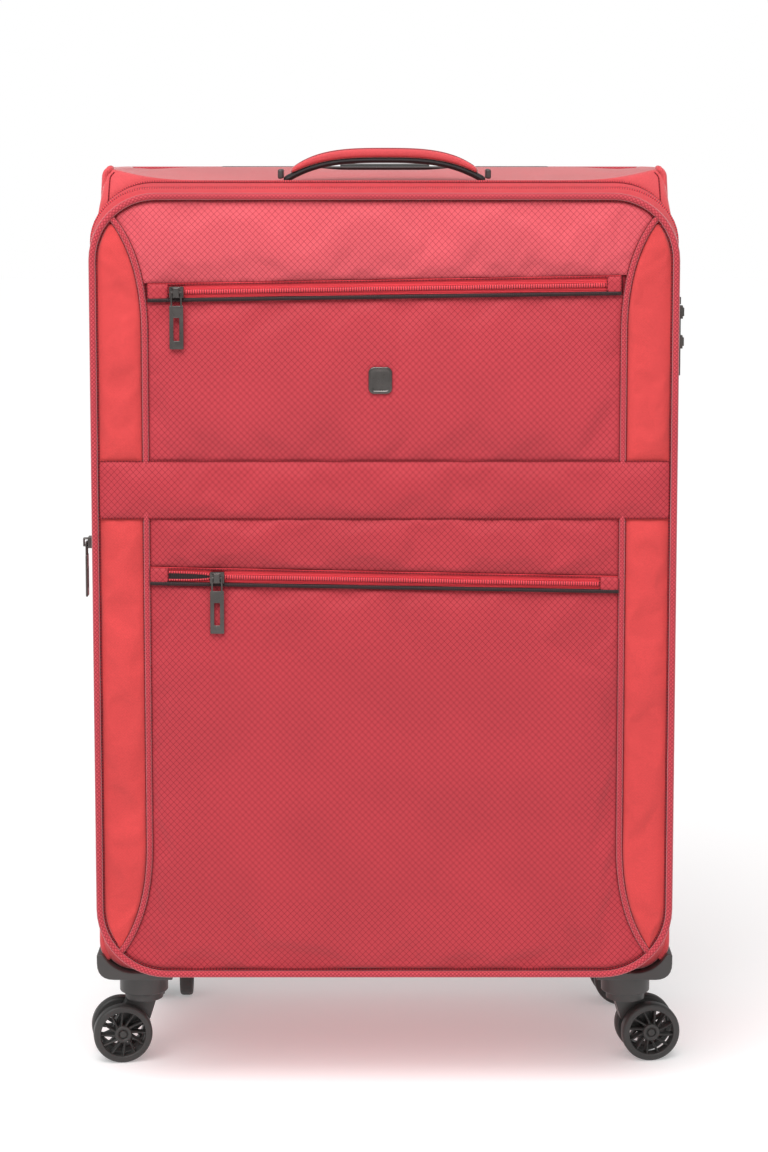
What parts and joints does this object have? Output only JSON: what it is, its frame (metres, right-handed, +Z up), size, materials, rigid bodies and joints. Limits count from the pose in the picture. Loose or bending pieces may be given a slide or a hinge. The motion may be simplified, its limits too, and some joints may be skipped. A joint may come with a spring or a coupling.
{
  "type": "softside upright suitcase",
  "caption": "Large red fabric suitcase with zipped front pockets, padded carry handle, telescopic handle and swivel casters.",
  "frame": {"origin": "middle of the overall box, on the floor under the wheels", "axes": "+Z up, the front cover faces -Y, +X to the right seen from the front"},
  "size_m": [0.524, 0.3184, 0.804],
  "materials": {
    "lattice_fabric": "polyester with a fine diamond lattice",
    "coral_weave": "plain fine weave",
    "zip_tape": "zip tape and coil",
    "piping": "corded piping",
    "lining": "plain lining",
    "webbing": "webbing",
    "grey_plastic": "fine moulded grain",
    "caster_plastic": "fine moulded grain",
    "wheel_tyre": "satin",
    "gunmetal": "dark gunmetal plating",
    "tube_aluminium": "satin anodised"
  },
  "bodies": {
    "case": {"rear_gusset": "lattice_fabric", "back_panel": "lattice_fabric", "rear_piping": "piping", "trolley_bezel": "grey_plastic", "trolley_cover": "lining", "trolley_outer_tube_left": "tube_aluminium", "trolley_outer_tube_right": "tube_aluminium", "handle_end_cap_left": "grey_plastic", "handle_end_cap_right": "grey_plastic", "corner_guard_front_left": "caster_plastic", "corner_guard_front_right": "caster_plastic", "corner_guard_rear_left": "caster_plastic", "corner_guard_rear_right": "caster_plastic"},
    "expander": {"front_gusset": "lattice_fabric", "expansion_sleeve": "lining", "main_zip_coil": "zip_tape", "lock_case": "grey_plastic"},
    "cover": {"lid_shell": "zip_tape", "lid_piping": "piping", "side_panel_left": "coral_weave", "side_panel_right": "coral_weave", "top_panel": "lattice_fabric", "upper_pocket": "lattice_fabric", "yoke_panel": "lattice_fabric", "lower_pocket": "lattice_fabric", "middle_band": "lattice_fabric", "upper_zip": "zip_tape", "lower_zip": "zip_tape", "badge": "gunmetal"},
    "trolley": {"trolley_inner_tube_left": "tube_aluminium", "trolley_inner_tube_right": "tube_aluminium", "trolley_grip": "grey_plastic"},
    "trolley_button": {"trolley_button": "grey_plastic"},
    "carry_handle": {"top_handle_strap": "webbing", "top_handle_pad": "lattice_fabric"},
    "lock_button": {"lock_button": "gunmetal"},
    "lock_dial_1": {"lock_dial_1": "gunmetal"},
    "lock_dial_2": {"lock_dial_2": "gunmetal"},
    "lock_dial_3": {"lock_dial_3": "gunmetal"},
    "upper_zip_slider": {"upper_zip_slider": "gunmetal"},
    "upper_zip_puller": {"upper_zip_puller": "gunmetal"},
    "lower_zip_slider": {"lower_zip_slider": "gunmetal"},
    "lower_zip_puller": {"lower_zip_puller": "gunmetal"},
    "expansion_zip_slider": {"expansion_zip_slider": "gunmetal"},
    "expansion_zip_puller": {"expansion_zip_puller": "gunmetal"},
    "main_zip_slider_upper": {"main_zip_slider_upper": "gunmetal"},
    "main_zip_slider_lower": {"main_zip_slider_lower": "gunmetal"},
    "caster_front_left": {"caster_fork_front_left": "caster_plastic"},
    "wheel_front_left_a": {"wheel_front_left_a": "wheel_tyre"},
    "wheel_front_left_b": {"wheel_front_left_b": "wheel_tyre"},
    "caster_front_right": {"caster_fork_front_right": "caster_plastic"},
    "wheel_front_right_a": {"wheel_front_right_a": "wheel_tyre"},
    "wheel_front_right_b": {"wheel_front_right_b": "wheel_tyre"},
    "caster_rear_left": {"caster_fork_rear_left": "caster_plastic"},
    "wheel_rear_left_a": {"wheel_rear_left_a": "wheel_tyre"},
    "wheel_rear_left_b": {"wheel_rear_left_b": "wheel_tyre"},
    "caster_rear_right": {"caster_fork_rear_right": "caster_plastic"},
    "wheel_rear_right_a": {"wheel_rear_right_a": "wheel_tyre"},
    "wheel_rear_right_b": {"wheel_rear_right_b": "wheel_tyre"}
  },
  "joints": [
    {"name": "expansion", "type": "slide", "parent": "case", "child": "expander", "axis": [0, -1, 0], "range_m": [0, 0.04]},
    {"name": "cover_hinge", "type": "hinge", "parent": "expander", "child": "cover", "pos_m": [-0.24591, -0.12233, 0.435], "axis": [0, 0, -1], "range_deg": [0, 150]},
    {"name": "trolley_slide", "type": "slide", "parent": "case", "child": "trolley", "axis": [0, 0, 1], "range_m": [0, 0.32]},
    {"name": "trolley_button_press", "type": "slide", "parent": "trolley", "child": "trolley_button", "axis": [0, 0, -1], "range_m": [0, 0.003], "stiffness_N_per_m": 300},
    {"name": "carry_handle_lift", "type": "slide", "parent": "case", "child": "carry_handle", "axis": [0, 0, 1], "range_m": [0, 0.018], "stiffness_N_per_m": 120},
    {"name": "lock_button_press", "type": "slide", "parent": "expander", "child": "lock_button", "axis": [-1, 0, 0], "range_m": [0, 0.002], "stiffness_N_per_m": 200},
    {"name": "lock_dial_1_turn", "type": "hinge", "parent": "expander", "child": "lock_dial_1", "pos_m": [0.24469, -0.10533, 0.6366], "axis": [0, 0, 1], "continuous": true},
    {"name": "lock_dial_2_turn", "type": "hinge", "parent": "expander", "child": "lock_dial_2", "pos_m": [0.24469, -0.10533, 0.6436], "axis": [0, 0, 1], "continuous": true},
    {"name": "lock_dial_3_turn", "type": "hinge", "parent": "expander", "child": "lock_dial_3", "pos_m": [0.24469, -0.10533, 0.6506], "axis": [0, 0, 1], "continuous": true},
    {"name": "upper_zip_slide", "type": "slide", "parent": "cover", "child": "upper_zip_slider", "axis": [0.9999, 0, 0.0163], "range_m": [0, 0.344]},
    {"name": "upper_zip_puller_swing", "type": "hinge", "parent": "upper_zip_slider", "child": "upper_zip_puller", "pos_m": [-0.17192, -0.15628, 0.686], "axis": [-1, 0, 0], "range_deg": [0, 100]},
    {"name": "lower_zip_slide", "type": "slide", "parent": "cover", "child": "lower_zip_slider", "axis": [0.9998, 0, -0.0188], "range_m": [-0.034, 0.312]},
    {"name": "lower_zip_puller_swing", "type": "hinge", "parent": "lower_zip_slider", "child": "lower_zip_puller", "pos_m": [-0.13992, -0.15628, 0.4473], "axis": [-1, 0, 0], "range_deg": [0, 100]},
    {"name": "expansion_zip_slide", "type": "slide", "parent": "case", "child": "expansion_zip_slider", "axis": [0, 0, 1], "range_m": [-0.31, 0.25]},
    {"name": "expansion_zip_puller_swing", "type": "hinge", "parent": "expansion_zip_slider", "child": "expansion_zip_puller", "pos_m": [-0.25666, -0.07933, 0.467], "axis": [0, 1, 0], "range_deg": [0, 100]},
    {"name": "main_zip_upper_slide", "type": "slide", "parent": "expander", "child": "main_zip_slider_upper", "axis": [0, 0, 1], "range_m": [0, 0.045]},
    {"name": "main_zip_lower_slide", "type": "slide", "parent": "expander", "child": "main_zip_slider_lower", "axis": [0, 0, 1], "range_m": [-0.47, 0]},
    {"name": "caster_front_left_swivel", "type": "hinge", "parent": "case", "child": "caster_front_left", "pos_m": [-0.21391, -0.04933, 0.061], "axis": [0, 0, 1], "continuous": true},
    {"name": "wheel_front_left_a_spin", "type": "hinge", "parent": "caster_front_left", "child": "wheel_front_left_a", "pos_m": [-0.23578, -0.03912, 0.026], "axis": [0.1564, -0.9877, 0], "continuous": true},
    {"name": "wheel_front_left_b_spin", "type": "hinge", "parent": "caster_front_left", "child": "wheel_front_left_b", "pos_m": [-0.23156, -0.06579, 0.026], "axis": [0.1564, -0.9877, 0], "continuous": true},
    {"name": "caster_front_right_swivel", "type": "hinge", "parent": "case", "child": "caster_front_right", "pos_m": [0.21408, -0.04933, 0.061], "axis": [0, 0, 1], "continuous": true},
    {"name": "wheel_front_right_a_spin", "type": "hinge", "parent": "caster_front_right", "child": "wheel_front_right_a", "pos_m": [0.23577, -0.05991, 0.026], "axis": [-0.1392, 0.9903, 0], "continuous": true},
    {"name": "wheel_front_right_b_spin", "type": "hinge", "parent": "caster_front_right", "child": "wheel_front_right_b", "pos_m": [0.23201, -0.03318, 0.026], "axis": [-0.1392, 0.9903, 0], "continuous": true},
    {"name": "caster_rear_left_swivel", "type": "hinge", "parent": "case", "child": "caster_rear_left", "pos_m": [-0.20192, 0.11267, 0.061], "axis": [0, 0, 1], "continuous": true},
    {"name": "wheel_rear_left_a_spin", "type": "hinge", "parent": "caster_rear_left", "child": "wheel_rear_left_a", "pos_m": [-0.18912, 0.13313, 0.026], "axis": [-0.9994, -0.0349, 0], "continuous": true},
    {"name": "wheel_rear_left_b_spin", "type": "hinge", "parent": "caster_rear_left", "child": "wheel_rear_left_b", "pos_m": [-0.2161, 0.13219, 0.026], "axis": [-0.9994, -0.0349, 0], "continuous": true},
    {"name": "caster_rear_right_swivel", "type": "hinge", "parent": "case", "child": "caster_rear_right", "pos_m": [0.20208, 0.11267, 0.061], "axis": [0, 0, 1], "continuous": true},
    {"name": "wheel_rear_right_a_spin", "type": "hinge", "parent": "caster_rear_right", "child": "wheel_rear_right_a", "pos_m": [0.22339, 0.10134, 0.026], "axis": [-0.1045, 0.9945, 0], "continuous": true},
    {"name": "wheel_rear_right_b_spin", "type": "hinge", "parent": "caster_rear_right", "child": "wheel_rear_right_b", "pos_m": [0.22057, 0.12819, 0.026], "axis": [-0.1045, 0.9945, 0], "continuous": true}
  ]
}
